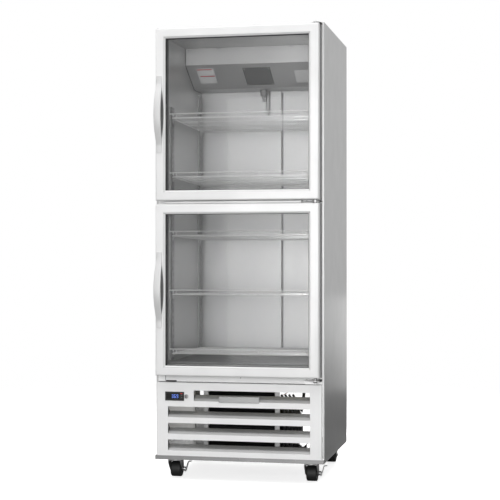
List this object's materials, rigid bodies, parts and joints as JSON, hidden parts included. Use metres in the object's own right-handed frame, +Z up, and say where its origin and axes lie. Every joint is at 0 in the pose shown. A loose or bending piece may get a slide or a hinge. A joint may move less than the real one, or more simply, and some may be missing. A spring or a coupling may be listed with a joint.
{
  "type": "glass door merchandiser",
  "caption": "Upright refrigerated display cabinet on swivel casters, with stacked glass half doors, wire shelves and a condensing unit behind a louvred grille.",
  "frame": {"origin": "on the floor, under the middle of the bounding box", "axes": "+X to the right of someone facing the doors, -Y out of the doors, +Z up"},
  "size_m": [0.692, 0.746, 1.84],
  "materials": {
    "outer_skin": "satin",
    "foam": "matte",
    "interior_sheet": "satin",
    "front_finish": "satin",
    "door_frame": "satin",
    "satin_trim": "satin",
    "base_steel": "satin",
    "glass": "gloss",
    "gasket": "matte",
    "black_plastic": "satin",
    "key_plastic": "matte",
    "shelf_wire": "satin",
    "coil_fins": "matte",
    "white_plastic": "satin",
    "compressor_shell": "gloss",
    "galvanised": "satin",
    "zinc_steel": "satin",
    "wheel_rubber": "matte"
  },
  "bodies": {
    "cabinet": {"left_side_panel": "outer_skin", "right_side_panel": "outer_skin", "top_panel": "outer_skin", "back_panel": "outer_skin", "insulated_body": "foam", "inner_liner": "interior_sheet", "face_frame": "front_finish", "base_frame": "base_steel", "front_grille": "front_finish", "temperature_controller": "black_plastic", "badge_plate": "satin_trim", "left_front_pilaster": "interior_sheet", "left_rear_pilaster": "interior_sheet", "right_front_pilaster": "interior_sheet", "right_rear_pilaster": "interior_sheet", "wire_shelf_1": "shelf_wire", "wire_shelf_2": "shelf_wire", "wire_shelf_3": "shelf_wire", "wire_shelf_4": "shelf_wire", "wire_shelf_5": "shelf_wire", "rear_air_panel": "interior_sheet", "evaporator_cover": "interior_sheet", "evaporator_coil": "coil_fins", "drain_fitting": "white_plastic", "evaporator_fan_guard": "black_plastic", "top_hinge_bracket": "zinc_steel", "middle_hinge_bracket": "zinc_steel", "bottom_hinge_bracket": "zinc_steel", "condenser_coil": "coil_fins", "compressor": "compressor_shell", "electrical_box": "galvanised", "condensate_pan": "white_plastic", "condenser_fan_shroud": "black_plastic", "front_left_caster_plate": "zinc_steel", "front_right_caster_plate": "zinc_steel", "rear_left_caster_plate": "zinc_steel", "rear_right_caster_plate": "zinc_steel"},
    "upper_door": {"upper_door_frame": "door_frame", "upper_door_glass": "glass", "upper_door_gasket": "gasket", "upper_door_handle": "satin_trim"},
    "lower_door": {"lower_door_frame": "door_frame", "lower_door_glass": "glass", "lower_door_gasket": "gasket", "lower_door_handle": "satin_trim"},
    "evaporator_fan": {"evaporator_fan": "black_plastic"},
    "condenser_fan": {"condenser_fan": "black_plastic"},
    "light_switch": {"light_switch": "zinc_steel"},
    "controller_up_key": {"controller_up_key": "key_plastic"},
    "controller_down_key": {"controller_down_key": "key_plastic"},
    "front_left_fork": {"front_left_caster_fork": "zinc_steel"},
    "front_left_wheel": {"front_left_caster_wheel": "wheel_rubber"},
    "front_left_brake": {"front_left_brake_lever": "zinc_steel"},
    "front_right_fork": {"front_right_caster_fork": "zinc_steel"},
    "front_right_wheel": {"front_right_caster_wheel": "wheel_rubber"},
    "front_right_brake": {"front_right_brake_lever": "zinc_steel"},
    "rear_left_fork": {"rear_left_caster_fork": "zinc_steel"},
    "rear_left_wheel": {"rear_left_caster_wheel": "wheel_rubber"},
    "rear_right_fork": {"rear_right_caster_fork": "zinc_steel"},
    "rear_right_wheel": {"rear_right_caster_wheel": "wheel_rubber"}
  },
  "joints": [
    {"name": "upper_door_hinge", "type": "hinge", "parent": "cabinet", "child": "upper_door", "pos_m": [0.317, -0.32, 1.4809], "axis": [0, 0, 1], "range_deg": [0, 120], "stiffness_Nm_per_rad": 1.5, "springref_deg": -20.05},
    {"name": "lower_door_hinge", "type": "hinge", "parent": "cabinet", "child": "lower_door", "pos_m": [0.317, -0.32, 0.7735], "axis": [0, 0, 1], "range_deg": [0, 120], "stiffness_Nm_per_rad": 1.5, "springref_deg": -20.05},
    {"name": "evaporator_fan_spin", "type": "hinge", "parent": "cabinet", "child": "evaporator_fan", "pos_m": [0.0093, 0.0648, 1.68056], "axis": [0, -0.4937, -0.8696], "continuous": true},
    {"name": "condenser_fan_spin", "type": "hinge", "parent": "cabinet", "child": "condenser_fan", "pos_m": [0, -0.181, 0.236], "axis": [0, 1, 0], "continuous": true},
    {"name": "light_switch_turn", "type": "hinge", "parent": "cabinet", "child": "light_switch", "pos_m": [-0.215, -0.294, 0.342], "axis": [0, 1, 0], "range_deg": [0, 90]},
    {"name": "controller_up_key_press", "type": "slide", "parent": "cabinet", "child": "controller_up_key", "axis": [0, 1, 0], "range_m": [0, 0.0005], "stiffness_N_per_m": 300},
    {"name": "controller_down_key_press", "type": "slide", "parent": "cabinet", "child": "controller_down_key", "axis": [0, 1, 0], "range_m": [0, 0.0005], "stiffness_N_per_m": 300},
    {"name": "front_left_caster_swivel", "type": "hinge", "parent": "cabinet", "child": "front_left_fork", "pos_m": [-0.283, -0.204, 0.08], "axis": [0, 0, 1], "continuous": true},
    {"name": "front_left_wheel_roll", "type": "hinge", "parent": "front_left_fork", "child": "front_left_wheel", "pos_m": [-0.283, -0.184, 0.032], "axis": [1, 0, 0], "continuous": true},
    {"name": "front_left_brake_press", "type": "hinge", "parent": "front_left_fork", "child": "front_left_brake", "pos_m": [-0.283, -0.184, 0.032], "axis": [1, 0, 0], "range_deg": [0, 35]},
    {"name": "front_right_caster_swivel", "type": "hinge", "parent": "cabinet", "child": "front_right_fork", "pos_m": [0.283, -0.204, 0.08], "axis": [0, 0, 1], "continuous": true},
    {"name": "front_right_wheel_roll", "type": "hinge", "parent": "front_right_fork", "child": "front_right_wheel", "pos_m": [0.283, -0.184, 0.032], "axis": [1, 0, 0], "continuous": true},
    {"name": "front_right_brake_press", "type": "hinge", "parent": "front_right_fork", "child": "front_right_brake", "pos_m": [0.283, -0.184, 0.032], "axis": [1, 0, 0], "range_deg": [0, 35]},
    {"name": "rear_left_caster_swivel", "type": "hinge", "parent": "cabinet", "child": "rear_left_fork", "pos_m": [-0.283, 0.309, 0.08], "axis": [0, 0, 1], "continuous": true},
    {"name": "rear_left_wheel_roll", "type": "hinge", "parent": "rear_left_fork", "child": "rear_left_wheel", "pos_m": [-0.283, 0.329, 0.032], "axis": [1, 0, 0], "continuous": true},
    {"name": "rear_right_caster_swivel", "type": "hinge", "parent": "cabinet", "child": "rear_right_fork", "pos_m": [0.283, 0.309, 0.08], "axis": [0, 0, 1], "continuous": true},
    {"name": "rear_right_wheel_roll", "type": "hinge", "parent": "rear_right_fork", "child": "rear_right_wheel", "pos_m": [0.283, 0.329, 0.032], "axis": [1, 0, 0], "continuous": true}
  ]
}
